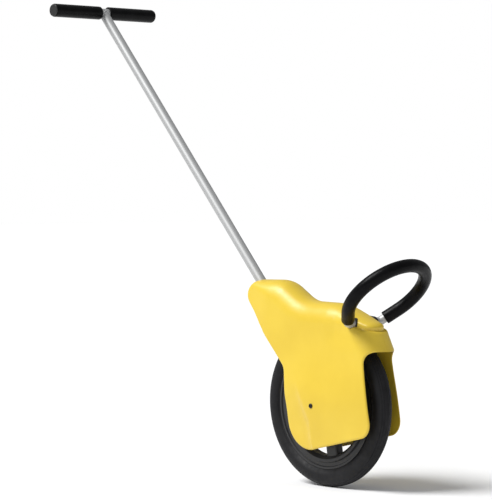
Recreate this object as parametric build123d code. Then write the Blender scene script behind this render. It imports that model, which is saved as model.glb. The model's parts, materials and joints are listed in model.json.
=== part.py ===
"""A hand-guided single-wheel unicycle: a 16-inch wheel under a two-part moulded saddle shell,
with a long pole and T-bar behind and a padded grab hoop in front.

Millimetres. The origin is on the ground under the axle, +X is forward, +Y is left, +Z is up.
"""

from build123d import *
import math
import os

# Wheel and tyre
tyre_radius = 200.0
tyre_section = 48.0
tyre_wall = 3.5
tube_wall = 1.2
bead_tuck = 0.5
bead_width = 3.4
rim_half_width = 17.0
rim_flange_lip = 3.4
rim_depth = 28.5
spoke_count = 5
spoke_width = 37.0
spoke_root_width = 36.0
spoke_depth = 24.0
spoke_angle = 9.4
hub_radius = 26.0
hub_half_length = 20.0
valve_radius = 4.0

# Bearings, one at each end of the hub
bearing_bore = 12.0
bearing_outer = 28.0
bearing_width = 8.0
ball_radius = 2.4
ball_count = 8
running_clearance = 0.03

# Axle and its hardware
axle_radius = 6.0
fit_clearance = 0.05
washer_thickness = 2.5
nut_height = 10.0
nut_flats = 19.0
axle_end_length = 3.5

# Side plates and what joins them
tyre_side_clearance = 10.0
plate_thickness = 3.0
plate_edge = 20.0
hoop_plate_edge = 14.0
spreader_gap = 20.0
spreader_radius = 8.0

# Pole, its block and the T-bar
pole_radius = 12.7
pole_wall = 2.0
pole_angle = 48.5
pole_offset = 12.6
pole_length = 1094.0
block_gap = 23.0
block_length = 84.0
block_thickness = 40.0
block_floor = 5.0
bar_radius = 12.7
bar_wall = 2.0
bar_length = 338.0
grip_radius = 17.5
grip_gap = 14.0
plug_thickness = 3.0

# Grab hoop
hoop_tube_radius = 11.0
hoop_tube_wall = 2.0
hoop_foam_radius = 16.0
hoop_bend_radius = 104.0
hoop_lean = 42.5
hoop_splay = 36.0
hoop_heel_radius = 17.0
hoop_bare_length = 17.0
hoop_direction = 60.55
hoop_gap = 33.5
hoop_sleeve_wall = 2.0
hoop_stub_end = 14.0

# Saddle shell
shell_wall = 3.0
panel_standoff = 27.0
nose_side_room = -2.0
roof_side_room = 6.0
lip_side_room = 9.0
lip_angle = 35.0
lip_gap = 40.0
nose_corner_radius = 24.0
lip_corner_radius = 14.0
pole_hole_clearance = 1.5
panel_boss_radius = 10.0
grommet_start = 139.0
grommet_length = 12.5
hoop_hole_clearance = 1.0
boss_radius = 7.0
boss_hole_depth = 10.0

# Screws
screw_radius = 2.5
screw_head_radius = 4.4
screw_head_height = 3.0
screw_depth = 16.0
pole_bolt_radius = 3.0
nut_standout = 5.0
panel_screw_radius = 3.0
panel_screw_head = 6.0
panel_screw_head_height = 3.3

# Worked out from the sizes above
bead_seat_radius = tyre_radius - tyre_section + bead_tuck
rim_inner_radius = bead_seat_radius - rim_depth
section_radius = tyre_section / 2
section_centre = tyre_radius - section_radius
plate_inner = section_radius + tyre_side_clearance
plate_outer = plate_inner + plate_thickness
panel_outer = plate_outer + panel_standoff
nose_half_width = plate_outer + shell_wall + nose_side_room
roof_half_width = plate_outer + shell_wall + roof_side_room
lip_half_width = plate_outer + shell_wall + lip_side_room
nut_reach = plate_outer + nut_standout
nut_face = plate_outer + washer_thickness + nut_height
axle_half_length = nut_face + axle_end_length
bore_radius = bearing_bore / 2
wheel_centre = Vector(0, 0, tyre_radius)
pole_direction = Vector(-math.cos(math.radians(pole_angle)), 0, math.sin(math.radians(pole_angle)))
pole_normal = Vector(math.sin(math.radians(pole_angle)), 0, math.cos(math.radians(pole_angle)))
pole_foot = wheel_centre + pole_normal * pole_offset + pole_direction * (tyre_radius + block_gap)
bar_centre = pole_foot + pole_direction * pole_length


def off_tyre(angle, gap):
    """The point in the middle plane that stands off the tyre by gap, at an angle from straight ahead."""
    reach = tyre_radius + gap
    turn = math.radians(angle)
    return Vector(reach * math.cos(turn), 0, tyre_radius + reach * math.sin(turn))


def along_pole(distance):
    """The point on the pole's axis that is distance above the foot of the pole's block."""
    return pole_foot + pole_direction * distance


hoop_base = off_tyre(hoop_direction, hoop_gap)
spreader_centre = off_tyre(96.0, spreader_gap)
boss_centres = [off_tyre(118.0, 32.0), off_tyre(76.0, 14.0)]
block_screw_centres = [along_pole(16.0), along_pole(block_length - 16.0)]
pole_bolt_centre = along_pole(block_length / 2)
# Each corner of the shell seen from the side: angle, gap over the tyre, corner radius.
shell_corners = [
    (134.9, 220.5, 36),
    (115.1, 130.2, 90),
    (103.5, 57.1, 110),
    (77.5, 54.0, 150),
    (50.6, 60.0, 34),
    (lip_angle, lip_gap, 2),
    (41.4, 11.0, 22),
    (27.5, -13.0, 70),
    (342.6, 1.0, 36),
    (234.3, -42.4, 74),
    (141.4, -60.5, 24),
]


def rod(start, direction, length, radius):
    """A round bar from start along direction."""
    return extrude(Plane(origin=start, z_dir=direction) * Circle(radius), length)


def sleeve(start, direction, length, outer, inner):
    """A round tube from start along direction."""
    return rod(start, direction, length, outer) - rod(start, direction, length, inner)


def across(centre, near, far, radius):
    """A round bar parallel to the axle, from y = near to y = far."""
    return rod(Vector(centre.X, near, centre.Z), Vector(0, 1, 0), far - near, radius)


def both_sides(piece):
    """The piece and its mirror image on the other side of the middle plane."""
    return Compound(children=[piece, mirror(piece, about=Plane.XZ)])


def turned(points):
    """A ring around the axle from an outline of (radius, y) points."""
    return Pos(wheel_centre) * revolve(make_face(Polyline(*points, close=True)), Axis.Y)


def save(shape, node):
    """Writes one sub-part."""
    export_step(shape, f"parts/{node}.step")


def make_tyre():
    """Hollow tyre, open between its two beads."""
    carcass = revolve(Pos(section_centre, 0) * Circle(section_radius), Axis.Y)
    hollow = revolve(Pos(section_centre, 0) * Circle(section_radius - tyre_wall), Axis.Y)
    inside = rim_half_width - rim_flange_lip / 2 - bead_width
    mouth = revolve(Pos(bead_seat_radius, 0) * Rectangle(14, 2 * inside), Axis.Y)
    beads = []
    for side in (-1, 1):
        middle = side * (inside + bead_width / 2)
        beads.append(revolve(Pos(bead_seat_radius + 4, middle) * Rectangle(8, bead_width), Axis.Y))
    seat = revolve(Pos(bead_seat_radius - 10, 0) * Rectangle(20, tyre_section), Axis.Y)
    return Pos(wheel_centre) * (carcass + beads[0] + beads[1] - hollow - mouth - seat)


def make_inner_tube():
    """Thin air tube inside the tyre."""
    outer = section_radius - tyre_wall - fit_clearance * 4
    ring = revolve(Pos(section_centre, 0) * (Circle(outer) - Circle(outer - tube_wall)), Axis.Y)
    return Pos(wheel_centre) * ring


def rim_outline():
    """Half of the rim's section and its mirror image, as (radius, y) points."""
    half = [
        (rim_inner_radius, rim_half_width - 6),
        (rim_inner_radius + 8, rim_half_width + 2),
        (rim_inner_radius + 15, rim_half_width + 2),
        (rim_inner_radius + 17, rim_half_width - 3),
        (bead_seat_radius - 3, rim_half_width - 3),
        (bead_seat_radius - 1, rim_half_width),
        (bead_seat_radius + rim_flange_lip, rim_half_width),
        (bead_seat_radius + rim_flange_lip, rim_half_width - rim_flange_lip / 2),
        (bead_seat_radius, rim_half_width - rim_flange_lip / 2),
        (bead_seat_radius, rim_half_width - 10),
        (bead_seat_radius - 6, rim_half_width - 13),
    ]
    return half + [(radius, -y) for radius, y in reversed(half)]


def valve_line():
    """Direction from the axle to the valve, midway between two spokes."""
    turn = math.radians(spoke_angle - 90 + 360 / spoke_count * 2.5)
    return Vector(math.cos(turn), 0, math.sin(turn))


def make_wheel():
    """Moulded wheel: rim, thick spokes and hub with a seat for each bearing."""
    wheel = turned(rim_outline())
    hub = across(wheel_centre, -hub_half_length, hub_half_length, hub_radius)
    wheel += hub
    root = hub_radius - 5
    tip = rim_inner_radius + 3
    for number in range(spoke_count):
        turn = math.radians(spoke_angle - 90 + 360 / spoke_count * number)
        out = Vector(math.cos(turn), 0, math.sin(turn))
        inner_end = Plane(origin=wheel_centre + out * root, x_dir=(0, 1, 0), z_dir=out)
        outer_end = Plane(origin=wheel_centre + out * tip, x_dir=(0, 1, 0), z_dir=out)
        sections = [
            inner_end * RectangleRounded(spoke_depth, spoke_root_width, 5),
            outer_end * RectangleRounded(spoke_depth, spoke_width, 5),
        ]
        wheel += loft(sections)
    wheel -= across(wheel_centre, -hub_half_length, hub_half_length, bearing_outer / 2 - 3)
    for near in (-hub_half_length, hub_half_length - bearing_width):
        wheel -= across(wheel_centre, near, near + bearing_width, bearing_outer / 2)
    hole_start = wheel_centre + valve_line() * (rim_inner_radius - 4)
    wheel -= rod(hole_start, valve_line(), 40, valve_radius + fit_clearance)
    return wheel


def make_valve():
    """Valve stem from the inner tube in through the rim, and its cap."""
    foot = section_centre - section_radius + tyre_wall - fit_clearance * 4
    start = wheel_centre + valve_line() * foot
    inward = valve_line() * -1
    stem_length = foot - rim_inner_radius + 14
    stem = rod(start, inward, stem_length, valve_radius)
    stem += rod(start + inward * stem_length, inward, 9, valve_radius - 1.2)
    cap = rod(start + inward * (stem_length + 0.4), inward, 11, valve_radius + 0.8)
    cap -= rod(start + inward * (stem_length + 0.4), inward, 9, valve_radius - 1.1)
    return stem, cap


def make_bearing(near):
    """One ball bearing whose outer end face is nearest the side given by y = near."""
    pitch = (bearing_outer + bearing_bore) / 4
    middle = near + bearing_width / 2
    groove = revolve(Pos(pitch, middle) * Circle(ball_radius + running_clearance), Axis.Y)
    shoulder = ball_radius * 0.55
    outer_ring = Pos((pitch + shoulder + bearing_outer / 2) / 2, middle)
    outer_ring *= Rectangle(bearing_outer / 2 - pitch - shoulder, bearing_width)
    inner_ring = Pos((bore_radius + fit_clearance + pitch - shoulder) / 2, middle)
    inner_ring *= Rectangle(pitch - shoulder - bore_radius - fit_clearance, bearing_width)
    outer_race = Pos(wheel_centre) * (revolve(outer_ring, Axis.Y) - groove)
    inner_race = Pos(wheel_centre) * (revolve(inner_ring, Axis.Y) - groove)
    balls = []
    for number in range(ball_count):
        turn = 2 * math.pi * number / ball_count
        spot = wheel_centre + Vector(pitch * math.cos(turn), middle, pitch * math.sin(turn))
        balls.append(Pos(spot) * Sphere(ball_radius))
    return outer_race, inner_race, balls


def make_axle():
    """Through axle with a tapped hole in each end for the panel screws."""
    axle = across(wheel_centre, -axle_half_length, axle_half_length, axle_radius)
    for side in (-1, 1):
        end = Vector(0, side * axle_half_length, tyre_radius)
        axle -= rod(end, Vector(0, -side, 0), 16, panel_screw_radius)
    return axle


def make_side_plate():
    """Left plate: a rounded outline around the axle, the hoop sleeve and the pole block."""
    circles = [Pos(hoop_base.X, hoop_base.Z) * Circle(hoop_plate_edge)]
    for corner in [wheel_centre] + block_screw_centres:
        circles.append(Pos(corner.X, corner.Z) * Circle(plate_edge))
    face = make_hull([edge for circle in circles for edge in circle.edges()])
    side = Plane(origin=(0, plate_inner, 0), x_dir=(1, 0, 0), z_dir=(0, -1, 0))
    plate = extrude(side * face, -plate_thickness)
    holes = [
        (wheel_centre, axle_radius),
        (hoop_base, hoop_tube_radius + fit_clearance + hoop_sleeve_wall),
        (spreader_centre, screw_radius),
        (pole_bolt_centre, pole_bolt_radius),
    ]
    holes += [(centre, screw_radius) for centre in boss_centres + block_screw_centres]
    for centre, radius in holes:
        plate -= across(centre, plate_inner - 1, plate_outer + 1, radius + fit_clearance)
    return plate


def make_block():
    """Cast block between the plates that holds the foot of the pole."""
    plane = Plane(origin=pole_foot, x_dir=(0, 1, 0), z_dir=pole_direction)
    block = extrude(plane * RectangleRounded(2 * plate_inner, block_thickness, 5), block_length)
    block -= rod(along_pole(block_floor), pole_direction, block_length, pole_radius + fit_clearance)
    block -= across(pole_bolt_centre, -plate_outer, plate_outer, pole_bolt_radius + fit_clearance)
    for centre in block_screw_centres:
        for near in (-plate_inner - 1, plate_inner + 1 - screw_depth):
            block -= across(centre, near, near + screw_depth, screw_radius)
    return block


def side_screw(centre, seat, tip):
    """A screw on the left side, its head outside y = seat and its shank reaching y = tip."""
    outward = 1 if tip < seat else -1
    shank = across(centre, min(seat, tip), max(seat, tip), screw_radius)
    head = across(centre, min(seat, seat + outward * screw_head_height),
                  max(seat, seat + outward * screw_head_height), screw_head_radius)
    return shank + head


def make_pole():
    """Straight tube from the block up to the T-bar, its top end shaped to the bar."""
    length = pole_length - block_floor
    pole = sleeve(along_pole(block_floor), pole_direction, length, pole_radius, pole_radius - pole_wall)
    pole -= across(pole_bolt_centre, -pole_radius, pole_radius, pole_bolt_radius + fit_clearance)
    return pole - across(bar_centre, -pole_radius - 1, pole_radius + 1, bar_radius + fit_clearance)


def make_bar():
    """Tube that carries the two grips."""
    half = bar_length / 2
    bore = across(bar_centre, -half, half, bar_radius - bar_wall)
    return across(bar_centre, -half, half, bar_radius) - bore


def make_grip():
    """Left foam grip."""
    half = bar_length / 2
    foam = across(bar_centre, grip_gap, half, grip_radius)
    return foam - across(bar_centre, grip_gap, half, bar_radius + fit_clearance)


def make_bar_plug():
    """Plug that closes the left end of the T-bar."""
    half = bar_length / 2
    plug = across(bar_centre, half, half + plug_thickness, grip_radius - 1.5)
    return plug + across(bar_centre, half - 14, half, bar_radius - bar_wall - fit_clearance)


def hoop_plane():
    """Plane of the hoop: x runs out along its lean, y runs across the wheel."""
    turn = math.radians(hoop_lean)
    out = Vector(math.cos(turn), 0, math.sin(turn))
    return Plane(origin=hoop_base, x_dir=out, z_dir=out.cross(Vector(0, 1, 0)))


def hoop_shape():
    """Where the left leg starts and where it meets the bend, in the hoop's plane."""
    splay = math.radians(hoop_splay)
    start = hoop_bend_radius * (1 - math.sin(splay)) / math.cos(splay)
    meet = (hoop_bend_radius * (1 - math.sin(splay)), hoop_bend_radius * math.cos(splay))
    return start, meet


def make_hoop_tube():
    """Bent tube: two stubs across the wheel, two splayed legs and a round bend."""
    start, meet = hoop_shape()
    apex = 2 * hoop_bend_radius
    left = FilletPolyline((0, hoop_stub_end), (0, start), meet, radius=hoop_heel_radius)
    mirrored = [(meet[0], -meet[1]), (0, -start), (0, -hoop_stub_end)]
    right = FilletPolyline(*mirrored, radius=hoop_heel_radius)
    bend = ThreePointArc(meet, (apex, 0), (meet[0], -meet[1]))
    path = hoop_plane() * Curve(left.edges() + bend.edges() + right.edges())
    end = Plane(origin=path.wires()[0] @ 0, z_dir=path.wires()[0] % 0)
    section = Circle(hoop_tube_radius) - Circle(hoop_tube_radius - hoop_tube_wall)
    return sweep(end * section, path=path.wires()[0])


def make_hoop_foam():
    """Foam sleeve over the legs and the bend, leaving a bare length at each leg's foot."""
    start, meet = hoop_shape()
    splay = math.radians(hoop_splay)
    foot = (hoop_bare_length * math.cos(splay), start + hoop_bare_length * math.sin(splay))
    left = Line(foot, meet)
    right = Line((meet[0], -meet[1]), (foot[0], -foot[1]))
    bend = ThreePointArc(meet, (2 * hoop_bend_radius, 0), (meet[0], -meet[1]))
    path = hoop_plane() * Curve(left.edges() + bend.edges() + right.edges())
    end = Plane(origin=path.wires()[0] @ 0, z_dir=path.wires()[0] % 0)
    section = Circle(hoop_foam_radius) - Circle(hoop_tube_radius + fit_clearance)
    return sweep(end * section, path=path.wires()[0])


def make_hoop_sleeve():
    """Cross tube through both plates that the hoop's stubs slide into."""
    bore = hoop_tube_radius + fit_clearance
    tube = across(hoop_base, -plate_outer, plate_outer, bore + hoop_sleeve_wall)
    tube -= across(hoop_base, -plate_outer, plate_outer, bore)
    for side in (-1, 1):
        tube -= rod(lock_screw_spot(side), hoop_base - wheel_centre, 12, screw_radius)
    return tube


def lock_screw_spot(side):
    """Where the head of a lock screw meets the under side of the hoop sleeve."""
    inward = (wheel_centre - hoop_base).normalized()
    spot = hoop_base + inward * (hoop_tube_radius + fit_clearance + hoop_sleeve_wall)
    return Vector(spot.X, side * (plate_inner - 9), spot.Z)


def make_lock_screw(side):
    """Screw through the sleeve that keeps a stub of the hoop in place."""
    outward = (hoop_base - wheel_centre).normalized()
    spot = lock_screw_spot(side)
    screw = rod(spot, outward, hoop_sleeve_wall, screw_radius - fit_clearance)
    return screw + rod(spot - outward * screw_head_height, outward, screw_head_height, screw_head_radius)


def shell_profile(inset):
    """The shell's side outline as a face, moved inwards by inset."""
    corners = [off_tyre(angle, gap) for angle, gap, _ in shell_corners]
    radii = [radius for _, _, radius in shell_corners]
    outline = FilletPolyline(*[(corner.X, corner.Z) for corner in corners], radius=radii, close=True)
    face = make_face(outline)
    return offset(face, -inset) if inset else face


def shell_widths(inset):
    """A tall solid that gives the shell its width from above and from the front."""
    rear = shell_profile(0).bounding_box().min.X
    front = off_tyre(lip_angle, lip_gap).X
    panel = panel_outer - inset
    from_above = [(rear - 1, nose_half_width - inset), (-40, panel), (40, panel)]
    from_above.append((front + 1, lip_half_width - inset))
    from_front = [(-tyre_radius, panel - 8), (-50, panel), (50, panel)]
    from_front += [(tyre_radius, roof_half_width - inset), (1.65 * tyre_radius, nose_half_width - inset - 1)]
    radii = [nose_corner_radius, 200, 200, lip_corner_radius]
    above = FilletPolyline(*both_edges(from_above), radius=radii + radii[::-1], close=True)
    ahead = Polyline(*both_edges([(z + tyre_radius, y) for z, y in from_front]), close=True)
    tall = extrude(make_face(above), 4 * tyre_radius, both=True)
    plane = Plane(origin=(0, 0, 0), x_dir=(0, 0, 1), z_dir=(1, 0, 0))
    return tall & extrude(plane * make_face(ahead), 4 * tyre_radius, both=True)


def both_edges(half):
    """A closed outline from its left half, mirrored to the right."""
    return half + [(along, -wide) for along, wide in reversed(half)]


def make_shell():
    """The whole saddle shell, before it is split down the middle."""
    side = Plane(origin=(0, 0, 0), x_dir=(1, 0, 0), z_dir=(0, -1, 0))
    outer = extrude(side * shell_profile(0), 2 * panel_outer, both=True) & shell_widths(0)
    room = shell_widths(shell_wall)
    hollow = extrude(side * shell_profile(shell_wall), 2 * panel_outer, both=True) & room
    lip = off_tyre(lip_angle, lip_gap)
    mouth = [
        (-1.05 * tyre_radius, lip.Z + 31),
        (tyre_radius * 0.6, lip.Z + 31),
        (tyre_radius * 0.6, lip.Z + 10),
        (lip.X - 9, lip.Z + 10),
        (lip.X - 3.5, lip.Z - 1),
        (lip.X - 3.5, 0),
        (-1.3 * tyre_radius, 0),
        (-1.3 * tyre_radius, lip.Z),
    ]
    opened = extrude(side * make_face(Polyline(*mouth, close=True)), 2 * panel_outer, both=True) & room
    shell = outer - hollow - opened
    for hand in (-1, 1):
        for centre in boss_centres:
            reach = sorted((hand * plate_outer, hand * 2 * panel_outer))
            shell += across(centre, *reach, boss_radius) & outer
        reach = sorted((hand * axle_half_length, hand * panel_outer))
        shell += across(wheel_centre, *reach, panel_boss_radius)
        for centre in boss_centres:
            reach = sorted((hand * plate_outer, hand * (plate_outer + boss_hole_depth)))
            shell -= across(centre, *reach, screw_radius)
        hole = sorted((hand * (axle_half_length - 1), hand * (panel_outer + 1)))
        shell -= across(wheel_centre, *hole, panel_screw_radius + 0.2)
        hole = sorted((hand * plate_outer, hand * 2 * panel_outer))
        shell -= across(hoop_base, *hole, hoop_tube_radius + hoop_hole_clearance)
    return shell - rod(along_pole(block_length), pole_direction, 200, pole_radius + pole_hole_clearance)


def make_grommet():
    """Rubber ring that fills the gap between the pole and its hole in the nose."""
    outer = pole_radius + pole_hole_clearance - fit_clearance
    inner = pole_radius + fit_clearance
    return sleeve(along_pole(grommet_start), pole_direction, grommet_length, outer, inner)


def main():
    """Builds every sub-part and writes it."""
    os.makedirs("parts", exist_ok=True)
    save(make_tyre(), "tyre")
    save(make_inner_tube(), "inner_tube")
    save(make_wheel(), "wheel")
    stem, cap = make_valve()
    save(stem, "valve_stem")
    save(cap, "valve_cap")
    balls = []
    for side, near in (("left", hub_half_length - bearing_width), ("right", -hub_half_length)):
        outer_race, inner_race, ring = make_bearing(near)
        save(outer_race, f"bearing_outer_race_{side}")
        save(inner_race, f"bearing_inner_race_{side}")
        balls += ring
    save(Compound(children=balls), "bearing_balls")

    inner_half = hub_half_length - bearing_width
    sleeve_radius = bore_radius + fit_clearance
    save(make_axle(), "axle")
    spacer = across(wheel_centre, -inner_half, inner_half, axle_radius + 2.4)
    save(spacer - across(wheel_centre, -inner_half, inner_half, sleeve_radius), "hub_spacer")
    spacer = across(wheel_centre, hub_half_length, plate_inner, axle_radius + 2.4)
    spacer -= across(wheel_centre, hub_half_length, plate_inner, sleeve_radius)
    save(both_sides(spacer), "axle_spacers")
    washer_end = plate_outer + washer_thickness
    washer = across(wheel_centre, plate_outer, washer_end, 2 * axle_radius)
    washer -= across(wheel_centre, plate_outer, washer_end, sleeve_radius)
    save(both_sides(washer), "axle_washers")
    plane = Plane(origin=(0, washer_end, tyre_radius), x_dir=(1, 0, 0), z_dir=(0, 1, 0))
    nut = extrude(plane * RegularPolygon(nut_flats / 2, 6, major_radius=False), nut_height)
    nut -= across(wheel_centre, washer_end, nut_face, axle_radius + fit_clearance)
    save(both_sides(nut), "axle_nuts")

    plate = make_side_plate()
    save(plate, "side_plate_left")
    save(mirror(plate, about=Plane.XZ), "side_plate_right")
    save(make_block(), "pole_block")
    depth = plate_inner + 1 - screw_depth
    screws = [side_screw(centre, plate_outer, depth) for centre in block_screw_centres]
    screws += [mirror(screw, about=Plane.XZ) for screw in screws]
    save(Compound(children=screws), "block_screws")
    bolt = across(pole_bolt_centre, -nut_reach, plate_outer, pole_bolt_radius)
    bolt += across(pole_bolt_centre, plate_outer, plate_outer + screw_head_height, 2 * pole_bolt_radius - 1)
    save(bolt, "pole_bolt")
    nut_seat = (pole_bolt_centre.X, -plate_outer, pole_bolt_centre.Z)
    plane = Plane(origin=nut_seat, x_dir=(1, 0, 0), z_dir=(0, -1, 0))
    nut = extrude(plane * RegularPolygon(5, 6, major_radius=False), nut_reach - plate_outer - 1)
    save(nut - across(pole_bolt_centre, -2 * nut_reach, 0, pole_bolt_radius + fit_clearance), "pole_bolt_nut")
    bar = across(spreader_centre, -plate_inner, plate_inner, spreader_radius)
    tapped = across(spreader_centre, depth, plate_inner, screw_radius)
    save(bar - tapped - mirror(tapped, about=Plane.XZ), "spreader_bar")
    save(both_sides(side_screw(spreader_centre, plate_outer, depth)), "spreader_screws")

    save(make_pole(), "pole")
    save(make_bar(), "t_bar")
    save(make_grip(), "grip_left")
    save(mirror(make_grip(), about=Plane.XZ), "grip_right")
    save(both_sides(make_bar_plug()), "bar_plugs")

    save(make_hoop_sleeve(), "hoop_sleeve")
    save(make_hoop_tube(), "hoop_tube")
    save(make_hoop_foam(), "hoop_foam")
    save(Compound(children=[make_lock_screw(-1), make_lock_screw(1)]), "hoop_lock_screws")

    shell = make_shell()
    slab = Box(8 * tyre_radius, 4 * panel_outer, 8 * tyre_radius)
    save(shell & Pos(0, 2 * panel_outer, 0) * slab, "shell_left")
    save(shell & Pos(0, -2 * panel_outer, 0) * slab, "shell_right")
    screws = [side_screw(centre, plate_inner, plate_outer + 9) for centre in boss_centres]
    screws += [mirror(screw, about=Plane.XZ) for screw in screws]
    save(Compound(children=screws), "shell_screws")
    screw = across(wheel_centre, axle_half_length - 14, panel_outer, panel_screw_radius - fit_clearance)
    screw += across(wheel_centre, panel_outer, panel_outer + panel_screw_head_height, panel_screw_head)
    save(both_sides(screw), "panel_screws")
    save(make_grommet(), "pole_grommet")


main()
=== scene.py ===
# %% [markdown]
# # A hand-guided single-wheel unicycle
# The solid model already holds every part at its real size. Here we only give it its looks:
# the moulded yellow shell, the tyre's tread, the foam, the satin tube and the soft studio.
# Lengths are metres, +X is forward, +Y is left and +Z is up.

import json
import math

import bmesh
import bpy
from mathutils import Matrix, Vector
from mathutils.geometry import delaunay_2d_cdt
from mathutils.kdtree import KDTree


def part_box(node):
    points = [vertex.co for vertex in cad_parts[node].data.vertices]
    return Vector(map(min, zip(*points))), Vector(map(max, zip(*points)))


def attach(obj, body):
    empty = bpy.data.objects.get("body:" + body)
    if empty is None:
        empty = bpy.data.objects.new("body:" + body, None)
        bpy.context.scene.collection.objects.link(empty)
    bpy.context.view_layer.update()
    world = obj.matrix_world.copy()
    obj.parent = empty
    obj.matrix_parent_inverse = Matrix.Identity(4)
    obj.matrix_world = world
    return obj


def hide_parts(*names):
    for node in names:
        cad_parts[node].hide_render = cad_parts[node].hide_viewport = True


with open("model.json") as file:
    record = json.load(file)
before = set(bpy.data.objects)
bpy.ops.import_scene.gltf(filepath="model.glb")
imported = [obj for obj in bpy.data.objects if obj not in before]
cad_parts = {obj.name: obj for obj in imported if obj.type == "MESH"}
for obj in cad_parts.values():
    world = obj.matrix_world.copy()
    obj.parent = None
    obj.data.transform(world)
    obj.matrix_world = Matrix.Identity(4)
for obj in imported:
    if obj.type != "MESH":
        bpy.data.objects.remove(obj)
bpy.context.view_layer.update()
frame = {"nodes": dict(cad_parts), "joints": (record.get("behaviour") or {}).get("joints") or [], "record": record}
MM = 0.001

# %% [markdown]
# Every place is worked out from the frame. The wheel's axle is the spin joint, and the tyre's
# box gives its radius, so the shell and the hoop can be set out by their gap over the tyre.

# %% The places that everything else hangs on
axle = Vector(frame["joints"][0]["pos_m"])
tyre_radius = axle.z
tyre_half_width = (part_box("tyre")[1].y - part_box("tyre")[0].y) / 2
bar_low, bar_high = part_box("t_bar")
bar_centre = (bar_low + bar_high) / 2
bar_radius = (bar_high.z - bar_low.z) / 2
pole_radius = (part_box("pole")[1].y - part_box("pole")[0].y) / 2
pole_angle = math.radians(48.5)
down_pole = Vector((math.cos(pole_angle), 0, -math.sin(pole_angle)))
pole_entry = bar_centre + down_pole * 0.941
print("tyre radius", round(tyre_radius, 4), "T-bar centre", [round(c, 4) for c in bar_centre])


# %% [markdown]
# Most pieces end the same way: normals made consistent, the mesh turned into an object at the
# origin, smooth shading with sharp corners kept, and a body to ride on. One helper does it.

# %% A helper that finishes a piece
def finished(name, bm, body, slot, sharp=40):
    """Turns a bmesh into an object that rides on a body and has its slot's finish."""
    bmesh.ops.recalc_face_normals(bm, faces=bm.faces)
    mesh = bpy.data.meshes.new(name)
    bm.to_mesh(mesh)
    bm.free()
    mesh.shade_smooth()
    mesh.set_sharp_from_angle(angle=math.radians(sharp))
    mesh.materials.append(finishes[slot])
    piece = bpy.data.objects.new(name, mesh)
    bpy.context.scene.collection.objects.link(piece)
    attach(piece, body)
    print(name, len(mesh.polygons), "faces")
    return piece


# %% [markdown]
# A finish is a small tree of nodes. Each one starts from the same few: object coordinates, a
# Principled shader, and noise that feeds a bump. Object coordinates are in metres, so a scale
# of 1000 makes spots about a millimetre across.

# %% Helpers for the finishes
def new_finish(name, roughness=0.5, metallic=0.0):
    """An empty finish: its node tree, its shader and its coordinates."""
    material = bpy.data.materials.new("finish_" + name)
    material.use_nodes = True
    tree = material.node_tree
    shader = tree.nodes["Principled BSDF"]
    shader.inputs["Roughness"].default_value = roughness
    shader.inputs["Metallic"].default_value = metallic
    place = tree.nodes.new("ShaderNodeTexCoord")
    return material, tree, shader, place.outputs["Object"]


def spots(tree, place, scale, detail=2.0):
    """Noise of one scale."""
    noise = tree.nodes.new("ShaderNodeTexNoise")
    noise.inputs["Scale"].default_value = scale
    noise.inputs["Detail"].default_value = detail
    tree.links.new(place, noise.inputs["Vector"])
    return noise.outputs["Fac"]


def blend_colours(tree, amount, dark, light, low=0.35, high=0.65):
    """A colour that runs from dark to light as amount goes from low to high."""
    ramp = tree.nodes.new("ShaderNodeValToRGB")
    ramp.color_ramp.elements[0].position = low
    ramp.color_ramp.elements[1].position = high
    ramp.color_ramp.elements[0].color = (*dark, 1)
    ramp.color_ramp.elements[1].color = (*light, 1)
    tree.links.new(amount, ramp.inputs["Fac"])
    return ramp.outputs["Color"]


def spread(tree, amount, low, high):
    """A number that runs from low to high with the noise."""
    node = tree.nodes.new("ShaderNodeMapRange")
    node.inputs["From Min"].default_value = 0.3
    node.inputs["From Max"].default_value = 0.7
    node.inputs["To Min"].default_value = low
    node.inputs["To Max"].default_value = high
    tree.links.new(amount, node.inputs["Value"])
    return node.outputs["Result"]


def roughen(tree, shader, height, strength, distance):
    """Fine relief from a height, distance metres deep."""
    bump = tree.nodes.new("ShaderNodeBump")
    bump.inputs["Strength"].default_value = strength
    bump.inputs["Distance"].default_value = distance
    tree.links.new(height, bump.inputs["Height"])
    tree.links.new(bump.outputs["Normal"], shader.inputs["Normal"])


# %% [markdown]
# The shell is moulded yellow plastic. It has a fine spark-eroded grain, a slow change of tone
# where the wall was thicker, and a half gloss.

# %% Yellow moulded plastic
def make_yellow():
    """Yellow moulded plastic with a fine grain and a thin clear skin."""
    material, tree, shader, place = new_finish("yellow_plastic", roughness=0.42)
    tone = blend_colours(tree, spots(tree, place, 7, 3), (0.68, 0.475, 0.030), (0.74, 0.53, 0.040))
    tree.links.new(tone, shader.inputs["Base Color"])
    tree.links.new(spread(tree, spots(tree, place, 60, 3), 0.36, 0.48), shader.inputs["Roughness"])
    roughen(tree, shader, spots(tree, place, 900, 3), 0.10, 0.0003)
    shader.inputs["Coat Weight"].default_value = 0.12
    shader.inputs["Coat Roughness"].default_value = 0.3
    return material


yellow = make_yellow()
print("finish:", yellow.name)

# %% [markdown]
# Tyre rubber is nearly black, a little paler where dust has settled in its grain.

# %% Tyre rubber
def make_rubber():
    """Nearly black rubber with a rough grain."""
    material, tree, shader, place = new_finish("tyre_rubber", roughness=0.6)
    tone = blend_colours(tree, spots(tree, place, 30, 4), (0.007, 0.007, 0.008), (0.012, 0.012, 0.0135))
    tree.links.new(tone, shader.inputs["Base Color"])
    tree.links.new(spread(tree, spots(tree, place, 90, 3), 0.5, 0.7), shader.inputs["Roughness"])
    roughen(tree, shader, spots(tree, place, 1100, 4), 0.25, 0.0003)
    shader.inputs["Specular IOR Level"].default_value = 0.22
    return material


rubber = make_rubber()
print("finish:", rubber.name)

# %% [markdown]
# The grips and the hoop wear closed-cell foam: a smooth skin over small cells, soft highlights.

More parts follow.
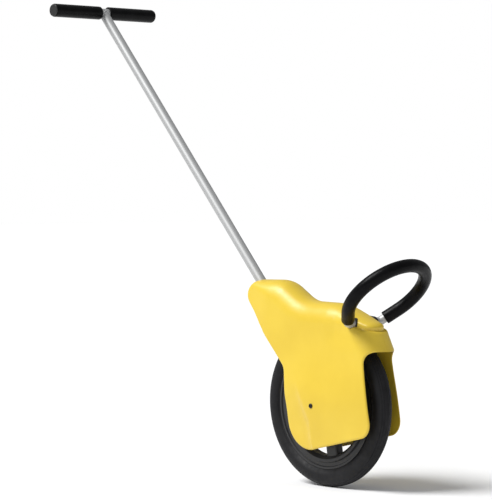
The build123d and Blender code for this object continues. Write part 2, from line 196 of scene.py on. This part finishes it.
# %% Black foam
def make_foam():
    """Black foam with small round cells under a smooth skin."""
    material, tree, shader, place = new_finish("black_foam", roughness=0.5)
    cells = tree.nodes.new("ShaderNodeTexVoronoi")
    cells.inputs["Scale"].default_value = 700
    tree.links.new(place, cells.inputs["Vector"])
    dark, light = (0.0015, 0.0015, 0.0018), (0.0035, 0.0035, 0.004)
    tone = blend_colours(tree, spots(tree, place, 40, 4), dark, light)
    tree.links.new(tone, shader.inputs["Base Color"])
    tree.links.new(spread(tree, spots(tree, place, 120, 2), 0.28, 0.42), shader.inputs["Roughness"])
    roughen(tree, shader, cells.outputs["Distance"], 0.35, 0.0004)
    shader.inputs["Specular IOR Level"].default_value = 0.09
    return material


foam = make_foam()
print("finish:", foam.name)

# %% [markdown]
# The tubes are drawn aluminium with a satin skin, so their grain is fine noise. The other
# metals and the plain plastics differ only in colour, roughness and the size of the grain.

# %% Metals and black plastics
def make_metal(name, dark, light, roughness, grain, metallic):
    """A finish with fine marks in its tone, its roughness and its surface."""
    material, tree, shader, place = new_finish(name, roughness, metallic)
    marks = spots(tree, place, grain, 4)
    tree.links.new(blend_colours(tree, marks, dark, light), shader.inputs["Base Color"])
    tree.links.new(spread(tree, marks, roughness - 0.06, roughness + 0.08), shader.inputs["Roughness"])
    roughen(tree, shader, marks, 0.12, 0.0002)
    return material


# Each metal or plastic: dark tone, light tone, roughness, grain, and how metallic it is.
metals = {
    "satin_aluminium": ((0.42, 0.425, 0.425), (0.50, 0.505, 0.505), 0.5, 900, 0.5),
    "zinc_steel": ((0.42, 0.43, 0.45), (0.58, 0.58, 0.60), 0.38, 500, 1.0),
    "bearing_steel": ((0.55, 0.55, 0.56), (0.68, 0.68, 0.69), 0.2, 900, 1.0),
    "brass": ((0.42, 0.36, 0.22), (0.6, 0.53, 0.36), 0.3, 700, 1.0),
    "cast_aluminium": ((0.30, 0.30, 0.31), (0.45, 0.45, 0.46), 0.55, 400, 1.0),
    "black_steel": ((0.010, 0.010, 0.011), (0.020, 0.020, 0.021), 0.5, 1200, 0.0),
    "black_screw": ((0.012, 0.012, 0.013), (0.03, 0.03, 0.03), 0.35, 900, 0.6),
    "wheel_plastic": ((0.012, 0.012, 0.013), (0.022, 0.022, 0.023), 0.42, 600, 0.0),
    "black_plastic": ((0.008, 0.008, 0.009), (0.016, 0.016, 0.016), 0.45, 800, 0.0),
    "tube_rubber": ((0.02, 0.02, 0.02), (0.03, 0.03, 0.03), 0.6, 500, 0.0),
}
finishes = {"tyre_rubber": rubber, "black_foam": foam, "yellow_plastic": yellow}
for metal_name, values in metals.items():
    finishes[metal_name] = make_metal(metal_name, *values)
print(len(finishes), "finishes")

# %% [markdown]
# The solid parts that stay as they are take the finish of their slot in the record.

# %% Dress the solid parts
slot_of = {part["node"]: part["material_slot"] for part in frame["record"]["subparts"]}
for node, solid in frame["nodes"].items():
    solid.data.materials.clear()
    solid.data.materials.append(finishes[slot_of[node]])
print("dressed", len(slot_of), "solid parts")

# %% [markdown]
# ## The shell
# The real shell is two thin mouldings that meet down the middle. Each half is a side panel
# whose upper edge rolls over to the seam. Seen from the side it is one outline, so we start
# with that outline, fill it with a flat mesh, and only then push each point out to its width.
# The outline's corners are given by their angle round the axle and their gap over the tyre.

# %% The shell's outline
def off_tyre(angle, gap):
    """A point that stands off the tyre by gap millimetres, at an angle from straight ahead."""
    reach = tyre_radius + gap * MM
    turn = math.radians(angle)
    return axle + Vector((math.cos(turn), 0, math.sin(turn))) * reach


# The seam edge, from the end of the rear wall over the nose and the saddle to the front lip.
seam_corners = [
    (137.7, 57.0, 0),
    (135.6, 222.5, 36),
    (115.1, 130.2, 90),
    (103.5, 57.1, 110),
    (77.5, 54.0, 150),
    (50.6, 60.0, 34),
    (35.0, 40.0, 0),
]
# The free edge, from the front lip under the panel and back up to the rear wall.
free_corners = [
    (35.0, 40.0, 0),
    (41.4, 11.0, 26),
    (27.5, -13.0, 70),
    (342.6, 1.0, 36),
    (234.3, -42.4, 74),
    (141.4, -60.5, 30),
    (137.7, 57.0, 0),
]


def rounded_path(corners, step):
    """Points along straight runs joined by tangent arcs."""
    spots_on = [off_tyre(angle, gap) for angle, gap, _ in corners]
    path = [spots_on[0]]
    for number in range(1, len(corners) - 1):
        here, radius = spots_on[number], corners[number][2] * MM
        back = (spots_on[number - 1] - here).normalized()
        ahead = (spots_on[number + 1] - here).normalized()
        half = back.angle(ahead) / 2
        centre = here + (back + ahead).normalized() * radius / math.sin(half)
        reach = radius / math.tan(half)
        start, end = here + back * reach, here + ahead * reach
        turn = math.pi - 2 * half
        pieces = max(2, round(radius * turn / step))
        for share in range(pieces + 1):
            arm = (start - centre).lerp(end - centre, share / pieces)
            path.append(centre + arm.normalized() * radius)
    path.append(spots_on[-1])
    return even_steps(path, step)


def even_steps(path, step):
    """The same path with its points the same distance apart."""
    lengths = [0.0]
    for a, b in zip(path, path[1:]):
        lengths.append(lengths[-1] + (b - a).length)
    count = max(2, round(lengths[-1] / step))
    points, at = [], 0
    for number in range(count + 1):
        goal = lengths[-1] * number / count
        while at < len(path) - 2 and lengths[at + 1] < goal:
            at += 1
        share = (goal - lengths[at]) / max(lengths[at + 1] - lengths[at], 1e-9)
        points.append(path[at].lerp(path[at + 1], min(share, 1)))
    return points


def search_tree(path):
    """A tree that finds the point of a path nearest to a spot."""
    tree = KDTree(len(path))
    for number, point in enumerate(path):
        tree.insert(point, number)
    tree.balance()
    return tree


edge_step = 3.2 * MM
seam_path = rounded_path(seam_corners, edge_step)
free_path = rounded_path(free_corners, edge_step)
print("outline:", len(seam_path) + len(free_path), "points")

# %% [markdown]
# The surface is steepest where it rolls over to the seam, so it needs rows of points that run
# along the edge, close together at first. Further in, an even field of points is enough. We
# place both sets of points and let Blender join them into the best-shaped triangles.

# %% A flat mesh that follows the outline
roll_depth = 22 * MM
row_count = 12
inner_step = 6.5 * MM
outline = seam_path[:-1] + free_path[:-1]
edge_tree = search_tree(outline)


def inward(number):
    """The direction from an outline point into the panel."""
    along = outline[(number + 1) % len(outline)] - outline[number - 1]
    return Vector((along.z, 0, -along.x)).normalized() * turn_sense


def enclosed_area(path):
    """Twice the area that a closed path encloses, negative when it runs the other way round."""
    return sum(a.x * b.z - b.x * a.z for a, b in zip(path, path[1:] + path[:1]))


def inside_outline(point):
    """Whether a point of the middle plane is inside the outline."""
    nearest, number, _ = edge_tree.find(point)
    return (point - nearest).dot(inward(number)) > 0


turn_sense = -1 if enclosed_area(outline) > 0 else 1


def panel_points():
    """The outline, rows of points along it, and an even field of points inside."""
    points = list(outline)
    for row in range(1, row_count + 1):
        depth = roll_depth * (1 - math.cos(math.pi / 2 * row / row_count))
        spacing = edge_step * (0.30 + 0.45 * row / row_count)
        kept = []
        for number, point in enumerate(outline):
            spot = point + inward(number) * depth
            if edge_tree.find(spot)[2] < 0.97 * depth:
                continue
            if kept and (kept[-1] - spot).length < spacing:
                continue
            kept.append(spot)
        points += kept
    low = Vector((min(p.x for p in outline), 0, min(p.z for p in outline)))
    high = Vector((max(p.x for p in outline), 0, max(p.z for p in outline)))
    crowd = search_tree(points)
    lift = inner_step * math.sqrt(3) / 2
    for line in range(int((high.z - low.z) / lift) + 1):
        for cell in range(int((high.x - low.x) / inner_step) + 1):
            spot = low + Vector(((cell + line % 2 / 2) * inner_step, 0, line * lift))
            if inside_outline(spot) and crowd.find(spot)[2] > 0.7 * inner_step:
                points.append(spot)
    return points


def flat_panel():
    """The outline as a flat mesh of well-shaped triangles."""
    points = panel_points()
    count = len(outline)
    edges = [(number, (number + 1) % count) for number in range(count)]
    flat = [Vector((point.x, point.z)) for point in points]
    spots_2d, _, faces, _, _, _ = delaunay_2d_cdt(flat, edges, [list(range(count))], 1, 1e-7)
    bm = bmesh.new()
    corners = [bm.verts.new((spot.x, 0, spot.y)) for spot in spots_2d]
    for face in faces:
        bm.faces.new([corners[number] for number in face])
    return bm


panel_mesh = flat_panel()
print("flat panel:", len(panel_mesh.verts), "points")

# %% [markdown]
# From above the shell is widest over the axle and slims towards the nose and the front lip, so
# each point gets the half width for its place. Near the seam the half width is scaled down
# along a rounded curve, which gives the roll. Behind a crease the panel drops by a few
# millimetres to a scooped facet, and the free edge curls in the way a moulding does.

# %% Push the flat mesh out to its width
# Half widths and places of this cell are in millimetres.
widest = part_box("shell_left")[1].y / MM
waist_width = 50.8
swell_height = axle.z / MM
swell_ahead, swell_behind, swell_above = 200, 95, 95
nose_start, nose_length, nose_slim = -165, 85, 9
front_start, front_bottom, front_slim = 30, 330, 4
facet_depth, facet_reach = 8.5, 14
groove_depth, groove_width = 7, 3.6
curl_depth, curl_reach = 3.5, 5
roll_power = 2.3
crease = [(-65, 262), (-50, 237), (-35, 206), (-19, 177), (-9, 158), (-8, 125), (-3, 92)]
seam_gap = 0.2 * MM


def ease(amount):
    """0 below 0, 1 above 1, with a soft start and end between."""
    amount = min(max(amount, 0.0), 1.0)
    return amount * amount * (3 - 2 * amount)


def gap_to(path, tree, spot):
    """The distance from a spot to a path, measured to the path's straight pieces."""
    nearest = tree.find(spot)[1]
    gaps = []
    for first in (nearest - 1, nearest):
        if 0 <= first < len(path) - 1:
            along = path[first + 1] - path[first]
            share = (spot - path[first]).dot(along) / along.length_squared
            gaps.append((path[first] + along * min(max(share, 0), 1) - spot).length)
    return min(gaps)


seam_tree = search_tree(seam_path)
free_tree = search_tree(free_path)
crease_path = [Vector((x * MM, 0, z * MM)) for x, z in crease]


def behind_crease(spot):
    """How far a point is behind the crease line, in millimetres, and how far down the line."""
    best, answer = 1e9, (0.0, 0.0)
    for number, (a, b) in enumerate(zip(crease_path, crease_path[1:])):
        along = b - a
        share = min(max((spot - a).dot(along) / along.length_squared, 0.0), 1.0)
        gap = spot - (a + along * share)
        if gap.length < best:
            best = gap.length
            side = along.x * gap.z - along.z * gap.x
            answer = (math.copysign(gap.length, -side) / MM, (number + share) / (len(crease) - 1))
    return answer


def scoop(spot):
    """How far the panel drops behind its crease, in millimetres."""
    distance, down = behind_crease(spot)
    if distance <= 0:
        return 0.0
    return facet_depth * ease(down * 2.2) * math.tanh(distance / facet_reach)


def groove(spot):
    """The groove that runs forward from the hoop's foot and round the front, in millimetres."""
    start = off_tyre(60.55, 33.5)
    end = off_tyre(47.0, 57.0)
    along = end - start
    share = (spot - start).dot(along) / along.length_squared
    aside = (spot - start - along * share).length / MM
    return groove_depth * math.exp(-((aside / groove_width) ** 2)) * ease(share * 5)


# How far the roll reaches in from the seam, in millimetres, at shares of the seam's length.
roll_sizes = [(0.0, 4), (0.10, 10), (0.24, 17), (0.40, 56), (0.68, 54), (0.80, 34), (0.88, 40), (1.0, 52)]


def roll_size(spot):
    """The reach of the roll at the seam point nearest to a spot."""
    share = seam_tree.find(spot)[1] / (len(seam_path) - 1)
    for (start, first), (end, second) in zip(roll_sizes, roll_sizes[1:]):
        if share <= end:
            return first + (second - first) * ease((share - start) / (end - start))
    return roll_sizes[-1][1]


def half_width(spot):
    """The shell's half width at a place in the middle plane, in metres."""
    x, z = spot.x / MM, spot.z / MM
    ahead = x / (swell_ahead if x > 0 else swell_behind)
    above = (z - swell_height) / swell_above
    width = waist_width + (widest - waist_width) * math.exp(-(ahead ** 2) - above ** 2)
    width -= nose_slim * ease((nose_start - x) / nose_length)
    width -= front_slim * ease((z - front_bottom) / 60) * ease((x - front_start) / 40)
    width -= scoop(spot)
    depth = gap_to(seam_path, seam_tree, spot) / MM
    share = 1 - min(depth / roll_size(spot), 1)
    width *= (1 - share ** roll_power) ** (1 / roll_power)
    rim = gap_to(free_path, free_tree, spot) / MM
    curl = 1 - min(rim / curl_reach, 1)
    width -= curl_depth * (1 - math.sqrt(1 - curl * curl)) * min(width / 40, 1)
    return max(width * MM, seam_gap)


def formed_panel():
    """The right half's outer skin, pushed out to its width, with the groove sunk into it."""
    bm = flat_panel()
    for corner in bm.verts:
        corner.co.y = -half_width(corner.co)
    bmesh.ops.recalc_face_normals(bm, faces=bm.faces)
    bm.normal_update()
    facing = sum(face.normal.y * face.calc_area() for face in bm.faces)
    if facing > 0:
        bmesh.ops.reverse_faces(bm, faces=bm.faces)
    bm.normal_update()
    sunk = [(corner, corner.co - corner.normal * groove(Vector((corner.co.x, 0, corner.co.z))) * MM)
            for corner in bm.verts]
    for corner, spot in sunk:
        corner.co = Vector((spot.x, min(spot.y, -seam_gap), spot.z))
    return bm


shell_skin = formed_panel()
print("skin half width:", round(-min(v.co.y for v in shell_skin.verts), 4))

# %% [markdown]
# A moulding is one even wall, so solidify gives the skin its 3 mm towards the inside. The
# holes are cut with the Boolean modifier, which needs closed shapes: a plain cylinder for each
# hole, made slightly larger than what passes through it.

# %% Helpers for holes and bosses
wall = 3 * MM


def tube_shape(start, end, radius, steps=48):
    """A closed cylinder between two points."""
    bm = bmesh.new()
    turn = (end - start).to_track_quat("Z", "Y").to_matrix().to_4x4()
    place = Matrix.Translation((start + end) / 2) @ turn
    bmesh.ops.create_cone(bm, cap_ends=True, segments=steps, radius1=radius, radius2=radius,
                          depth=(end - start).length, matrix=place)
    return bm


def as_object(name, bm):
    """A bmesh as an object, for a modifier to work on."""
    mesh = bpy.data.meshes.new(name)
    bm.to_mesh(mesh)
    bm.free()
    holder = bpy.data.objects.new(name, mesh)
    bpy.context.scene.collection.objects.link(holder)
    return holder


def combine(bm, other, operation):
    """The result of a Boolean between two closed shapes, as a new bmesh."""
    piece, tool = as_object("work_piece", bm), as_object("work_tool", other)
    change = piece.modifiers.new("change", "BOOLEAN")
    change.operation = operation
    change.object = tool
    change.solver = "EXACT"
    result = bmesh.new()
    result.from_object(piece, bpy.context.evaluated_depsgraph_get())
    for holder in (piece, tool):
        mesh = holder.data
        bpy.data.objects.remove(holder)
        bpy.data.meshes.remove(mesh)
    return result


print("wall", wall, "m")

# %% Wall, holes and bosses
pole_hole, hoop_hole, screw_hole = 14.3 * MM, 12 * MM, 3.2 * MM
hoop_foot = off_tyre(60.55, 33.5)
plate_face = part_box("side_plate_left")[1].y
axle_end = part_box("axle")[1].y
boss_spots = [off_tyre(118.0, 32.0), off_tyre(76.0, 14.0)]


def at_y(point, y):
    """The same point, moved out to y."""
    return Vector((point.x, y, point.z))


def make_shell_half():
    """The right half: wall, then holes, then the bosses that stand on its inside."""
    bm = shell_skin.copy()
    bmesh.ops.solidify(bm, geom=bm.faces[:], thickness=wall)
    bmesh.ops.recalc_face_normals(bm, faces=bm.faces)
    holes = [
        (pole_entry - down_pole * 0.05, pole_entry + down_pole * 0.05, pole_hole),
        (at_y(hoop_foot, -0.1), at_y(hoop_foot, -0.02), hoop_hole),
        (at_y(axle, -0.1), at_y(axle, -0.02), screw_hole),
    ]
    for start, end, radius in holes:
        bm = combine(bm, tube_shape(start, end, radius), "DIFFERENCE")
    bosses = [(axle, axle_end, 10 * MM, screw_hole)]
    bosses += [(spot, plate_face, 7 * MM, 2.5 * MM) for spot in boss_spots]
    for spot, near, radius, bore in bosses:
        far = half_width(at_y(spot, 0)) - wall / 2
        post = tube_shape(at_y(spot, -near), at_y(spot, -far), radius, 32)
        drill = tube_shape(at_y(spot, -near + MM), at_y(spot, -near - 10 * MM), bore, 24)
        bm = combine(bm, combine(post, drill, "DIFFERENCE"), "UNION")
    return bm


def mirrored(bm):
    """A copy on the other side of the middle plane, with its faces still outward."""
    other = bm.copy()
    bmesh.ops.scale(other, vec=(1, -1, 1), verts=other.verts)
    bmesh.ops.reverse_faces(other, faces=other.faces)
    return other


def both_sides(bm):
    """A piece of the left side and its mirror image, in one bmesh."""
    mesh = bpy.data.meshes.new("one_side")
    bm.to_mesh(mesh)
    both = mirrored(bm)
    both.from_mesh(mesh)
    bpy.data.meshes.remove(mesh)
    return both


right_half = make_shell_half()
left_half = mirrored(right_half)
shell_pieces = []
for side, half in (("right", right_half), ("left", left_half)):
    piece = finished("shell_skin_" + side, half, "frame", "yellow_plastic", sharp=35)
    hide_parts("shell_" + side)
    shell_pieces.append(piece)
for piece in shell_pieces:
    print(piece.name, "size", [round(side, 4) for side in piece.dimensions])

# %% [markdown]
# ## The tyre
# A bicycle tyre is a hollow ring, open between its beads. Its section is drawn once, with the
# grooves of the tread in it, and spun round the axle. The tread is plain rings, without blocks
# or cross cuts.

# %% The tyre
tyre_steps = 120
section_radius = tyre_half_width
section_reach = tyre_radius - section_radius
bead_seat = 152.5 * MM
tread_grooves = [(4.0, 1.6), (13.5, 1.8), (21.0, 1.2)]


def tyre_section():
    """Half of the closed section as (reach, y) points, from the middle of the tread to inside."""
    half = []
    for step in range(44):
        turn = math.radians(128 * step / 43)
        depth = 0.0
        for centre, width in tread_grooves:
            gap = abs(math.degrees(turn) - centre * 2.0)
            if gap < width * 1.5:
                depth = 1.1 * MM
        radius = section_radius - depth
        half.append((section_reach + radius * math.cos(turn), radius * math.sin(turn)))
    seat = bead_seat
    half += [(seat + 7 * MM, 16.6 * MM), (seat + 3 * MM, 15.3 * MM), (seat, 15.3 * MM), (seat, 11.9 * MM)]
    inner = section_radius - 3.5 * MM
    for step in range(22, -1, -1):
        turn = math.radians(138 * step / 22)
        half.append((section_reach + inner * math.cos(turn), inner * math.sin(turn)))
    return half


def make_tyre():
    """The ring: half a section and its mirror image spun round the axle."""
    half = tyre_section()
    loop = half + [(reach, -y) for reach, y in reversed(half[1:-1])]
    bm = bmesh.new()
    corners = [bm.verts.new(axle + Vector((reach, y, 0))) for reach, y in loop]
    edges = [bm.edges.new((a, b)) for a, b in zip(corners, corners[1:] + corners[:1])]
    bmesh.ops.spin(bm, geom=corners + edges, cent=axle, axis=(0, 1, 0), angle=2 * math.pi,
                   steps=tyre_steps, use_merge=True)
    bmesh.ops.remove_doubles(bm, verts=bm.verts, dist=1e-6)
    bmesh.ops.recalc_face_normals(bm, faces=bm.faces)
    return bm


tyre = finished("tyre_ring", make_tyre(), "wheel_assembly", "tyre_rubber", sharp=50)
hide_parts("tyre")

# %% [markdown]
# ## The hoop's foam
# The foam is a sleeve pushed over the bent tube: a straight leg, a round bend and the other
# leg. Both sides are alike, so we make half: a circle extruded along one leg and spun round half
# the bend. Its end is cut square with a slightly rounded edge.

# %% Hoop foam
lean = math.radians(42.5)
splay = math.radians(36)
hoop_out = Vector((math.cos(lean), 0, math.sin(lean)))
hoop_up = hoop_out.cross(Vector((0, 1, 0)))
bend_radius = 104 * MM
bend_centre = hoop_foot + hoop_out * bend_radius
foam_radius = 16 * MM
leg_start = bend_radius * (1 - math.sin(splay)) / math.cos(splay)
bare_length = 17 * MM
leg_cuts = 8
bend_cuts = 40


def make_hoop_foam():
    """The foam sleeve with its bore for the tube."""
    out_left = hoop_out * math.cos(splay) + Vector((0, math.sin(splay), 0))
    foot = hoop_foot + Vector((0, leg_start, 0)) + out_left * bare_length
    meet = hoop_foot + hoop_out * bend_radius * (1 - math.sin(splay))
    meet = meet + Vector((0, bend_radius * math.cos(splay), 0))
    bm = bmesh.new()
    turn = out_left.to_track_quat("Z", "Y").to_matrix().to_4x4()
    rim_steps = [(11.05, 0.6), (11.6, 0.0), (14.4, 0.0), (15.5, 0.5), (16.0, 1.8)]
    rings = []
    for radius, back in rim_steps:
        place = Matrix.Translation(foot + out_left * back * MM) @ turn
        ring = bmesh.ops.create_circle(bm, segments=40, radius=radius * MM, matrix=place)["verts"]
        rings.append(list({e for v in ring for e in v.link_edges}))
    for inner, outer in zip(rings, rings[1:]):
        bmesh.ops.bridge_loops(bm, edges=inner + outer)
    for ring, (_, back) in ((rings[-1], rim_steps[-1]), (rings[0], rim_steps[0])):
        edges = ring
        leg = meet - (foot + out_left * back * MM)
        for _ in range(leg_cuts):
            grown = bmesh.ops.extrude_edge_only(bm, edges=edges)["geom"]
            edges = [item for item in grown if isinstance(item, bmesh.types.BMEdge) and item.is_boundary]
            bmesh.ops.translate(bm, verts=list({v for e in edges for v in e.verts}), vec=leg / leg_cuts)
        tip = edges + list({v for e in edges for v in e.verts})
        bmesh.ops.spin(bm, geom=tip, cent=bend_centre, axis=hoop_up, angle=-(math.pi / 2 + splay),
                       steps=bend_cuts, use_merge=False)
    bmesh.ops.remove_doubles(bm, verts=bm.verts, dist=1e-6)
    return bm


hoop_foam_half = make_hoop_foam()
print("half the foam has", len(hoop_foam_half.faces), "faces")

# %% Mirror the foam and close it in the middle
def make_whole_hoop_foam(half):
    """The half sleeve and its mirror image, welded where they meet."""
    bmesh.ops.mirror(half, geom=half.verts[:] + half.edges[:] + half.faces[:], axis="Y",
                     matrix=Matrix.Identity(4), merge_dist=0.00005)
    bmesh.ops.remove_doubles(half, verts=half.verts, dist=0.00005)
    return half


whole_foam = make_whole_hoop_foam(hoop_foam_half)
hoop_sleeve = finished("hoop_foam_sleeve", whole_foam, "frame", "black_foam")
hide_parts("hoop_foam")

# %% [markdown]
# ## The grips and the T-bar's plugs
# A grip is turned foam: one outline with rounded ends, spun round the bar. The plug that closes
# the bar is a moulded disc with a rounded edge.

# %% Turned pieces on the T-bar
def turned(outline, centre, steps=64):
    """A closed outline of (radius, y) points in millimetres, spun round a line along Y."""
    bm = bmesh.new()
    corners = [bm.verts.new(centre + Vector((radius * MM, y * MM, 0))) for radius, y in outline]
    edges = [bm.edges.new((a, b)) for a, b in zip(corners, corners[1:] + corners[:1])]
    bmesh.ops.spin(bm, geom=corners + edges, cent=centre, axis=(0, 1, 0), angle=2 * math.pi,
                   steps=steps, use_merge=True)
    bmesh.ops.remove_doubles(bm, verts=bm.verts, dist=1e-6)
    bmesh.ops.recalc_face_normals(bm, faces=bm.faces)
    return bm


def rounded_end(radius, y, edge, outward, steps=6):
    """Points of a rounded edge from the end face of a turned piece to its side."""
    points = []
    for step in range(steps + 1):
        turn = math.pi / 2 * step / steps
        back = edge - edge * math.cos(turn)
        points.append((radius - edge + edge * math.sin(turn), y - outward * back))
    return points


grip_near, grip_far = (corner.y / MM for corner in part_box("grip_left"))
plug_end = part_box("bar_plugs")[1].y / MM
grip_bore = bar_radius / MM + 0.05
grip_outline = [(grip_bore, grip_near)]
grip_outline += rounded_end(17.5, grip_near, 2.2, -1)
grip_outline += [(17.5, grip_near + (grip_far - grip_near) * step / 12) for step in range(1, 12)]
grip_outline += rounded_end(17.5, grip_far, 2.2, 1)[::-1]
grip_outline += [(grip_bore, grip_far)]

grip_half = turned(grip_outline, bar_centre)
plug_outline = [(0.0, grip_far), (16.0, grip_far)] + rounded_end(16.0, plug_end, 1.6, 1)[::-1]
plug_outline += [(8.0, plug_end), (0.0, plug_end)]
plug_half = turned(plug_outline, bar_centre)
for side in ("left", "right"):
    grip_mesh = grip_half.copy() if side == "left" else mirrored(grip_half)
    grip = finished("grip_foam_" + side, grip_mesh, "frame", "black_foam")
    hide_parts("grip_" + side)

# %% The plugs, both in one piece
plugs = finished("bar_end_plugs", both_sides(plug_half), "frame", "black_plastic")
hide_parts("bar_plugs")

# %% [markdown]
# ## The weld at the T-bar
# The pole's top is cut to fit round the bar and welded. A weld bead is a small fillet of metal
# that follows the line where the two tubes meet, with a ripple for each pass of the torch.

# %% The weld bead
def make_weld():
    """A thin rippled ring along the line where the pole meets the bar."""
    side_way = Vector((0, 1, 0))
    across_pole = down_pole.cross(side_way)
    count = 96
    bm = bmesh.new()
    rings = []
    for step in range(count):
        turn = 2 * math.pi * step / count
        outward = side_way * math.sin(turn) + across_pole * math.cos(turn)
        drop = math.sqrt(max(bar_radius ** 2 - (pole_radius * math.cos(turn)) ** 2, 0.0))
        spot = bar_centre + outward * pole_radius + down_pole * drop
        size = (1.9 + 0.25 * math.sin(turn * 24)) * MM
        ring = []
        for corner in range(8):
            angle = 2 * math.pi * corner / 8
            arm = outward * math.cos(angle) + down_pole * math.sin(angle)
            ring.append(bm.verts.new(spot + arm * size))
        rings.append([bm.edges.new((a, b)) for a, b in zip(ring, ring[1:] + ring[:1])])
    for first, second in zip(rings, rings[1:] + rings[:1]):
        bmesh.ops.bridge_loops(bm, edges=first + second)
    return bm


finished("pole_weld_bead", make_weld(), "frame", "satin_aluminium", sharp=60)

# %% [markdown]
# The rubber ring round the pole sits just inside the nose, out of sight from the side. It is
# turned about the pole, with a lip at its inner end.

# %% The ring round the pole
def make_pole_ring():
    """A closed ring about the pole."""
    bore, neck, lip = 12.75, 14.15, 15.6
    section = [(bore, 5.0), (13.9, 5.0), (neck, 5.4), (neck, 12.5), (lip, 12.8), (lip, 13.8), (bore, 13.8)]
    aside = Vector((0, 1, 0))
    bm = bmesh.new()
    corners = []
    for radius, along in section:
        corners.append(bm.verts.new(pole_entry + down_pole * along * MM + aside * radius * MM))
    edges = [bm.edges.new((a, b)) for a, b in zip(corners, corners[1:] + corners[:1])]
    bmesh.ops.spin(bm, geom=corners + edges, cent=pole_entry, axis=down_pole, angle=2 * math.pi,
                   steps=48, use_merge=True)
    bmesh.ops.remove_doubles(bm, verts=bm.verts, dist=1e-6)
    return bm


pole_ring = finished("pole_ring", make_pole_ring(), "frame", "tube_rubber")
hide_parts("pole_grommet")

# %% [markdown]
# ## The panel screws
# A button-head screw is a flattened dome with a hexagon socket. The dome is turned, and the
# socket is a six-sided prism taken out of it.

# %% Button-head screws
def make_screw():
    """The left screw: a dome on the panel, its socket, and the shank into the axle."""
    seat = widest
    dome = [(0.0, seat - 16), (2.9, seat - 16), (2.9, seat), (6.0, seat), (6.0, seat + 0.7)]
    for step in range(1, 9):
        turn = math.pi / 2 * step / 8
        dome.append((6.0 * math.cos(turn), seat + 0.7 + 2.5 * math.sin(turn)))
    bm = turned(dome, axle)
    socket = tube_shape(at_y(axle, (seat + 1.2) * MM), at_y(axle, (seat + 5) * MM), 2.3 * MM, 6)
    return combine(bm, socket, "DIFFERENCE")


both_screws = both_sides(make_screw())
screws = finished("panel_screw_heads", both_screws, "frame", "black_screw", sharp=30)
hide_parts("panel_screws")

# %% [markdown]
# ## Floor, light and camera
# The object stands on a wide, plain pale floor. The light is soft and comes from above its near
# side, so that the near panel is bright and the front edge falls into shade.

# %% Floor
def make_floor():
    """A wide floor."""
    material, tree, shader, place = new_finish("studio_floor", roughness=0.9)
    tone = blend_colours(tree, spots(tree, place, 3, 2), (0.93, 0.93, 0.93), (0.95, 0.95, 0.95))
    tree.links.new(tone, shader.inputs["Base Color"])
    bm = bmesh.new()
    bmesh.ops.create_grid(bm, x_segments=8, y_segments=8, size=30)
    mesh = bpy.data.meshes.new("studio_floor")
    bm.to_mesh(mesh)
    bm.free()
    mesh.materials.append(material)
    floor = bpy.data.objects.new("studio_floor", mesh)
    bpy.context.scene.collection.objects.link(floor)
    return floor


print("floor:", make_floor().name)

# %% Light
world = bpy.data.worlds.new("studio")
world.use_nodes = True
tree = world.node_tree
backdrop = tree.nodes.new("ShaderNodeBackground")
backdrop.inputs["Color"].default_value = (1, 1, 1, 1)
fill = tree.nodes["Background"]
fill.inputs["Color"].default_value = (0.97, 0.98, 1.0, 1)
fill.inputs["Strength"].default_value = 0.36
ray = tree.nodes.new("ShaderNodeLightPath")
choose = tree.nodes.new("ShaderNodeMixShader")
tree.links.new(ray.outputs["Is Camera Ray"], choose.inputs["Fac"])
tree.links.new(fill.outputs["Background"], choose.inputs[1])
tree.links.new(backdrop.outputs["Background"], choose.inputs[2])
tree.links.new(choose.outputs["Shader"], tree.nodes["World Output"].inputs["Surface"])
bpy.context.scene.world = world

key_data = bpy.data.lights.new("key", "SUN")
key_data.energy = 3.4
key_data.angle = math.radians(28)
key = bpy.data.objects.new("key", key_data)
key.rotation_euler = Vector((0.32, 0.55, -0.77)).to_track_quat("-Z", "Y").to_euler()
bpy.context.scene.collection.objects.link(key)
bpy.context.scene.view_settings.view_transform = "Standard"
print("key light", key_data.energy, "fill", fill.inputs["Strength"].default_value)

# %% Camera
def place_camera():
    """A long lens from the front right, at about half the height of the object."""
    turn, distance, height = math.radians(45.11776), 5.608585, 0.731509
    yaw, down = math.radians(-2.07378), math.radians(1.59837)
    into = Vector((-math.sin(turn), math.cos(turn), 0))
    sideways = Vector((math.cos(turn), math.sin(turn), 0))
    level = into * math.cos(yaw) + sideways * math.sin(yaw)
    forward = level * math.cos(down) - Vector((0, 0, math.sin(down)))
    data = bpy.data.cameras.new("camera")
    data.sensor_width = 36
    data.lens = 166.401
    data.clip_end = 100
    camera = bpy.data.objects.new("camera", data)
    camera.location = (distance * math.sin(turn), -distance * math.cos(turn), height)
    camera.rotation_euler = forward.to_track_quat("-Z", "Y").to_euler()
    bpy.context.scene.collection.objects.link(camera)
    bpy.context.scene.camera = camera
    return camera


camera = place_camera()
print("lens", round(camera.data.lens, 2), "mm")
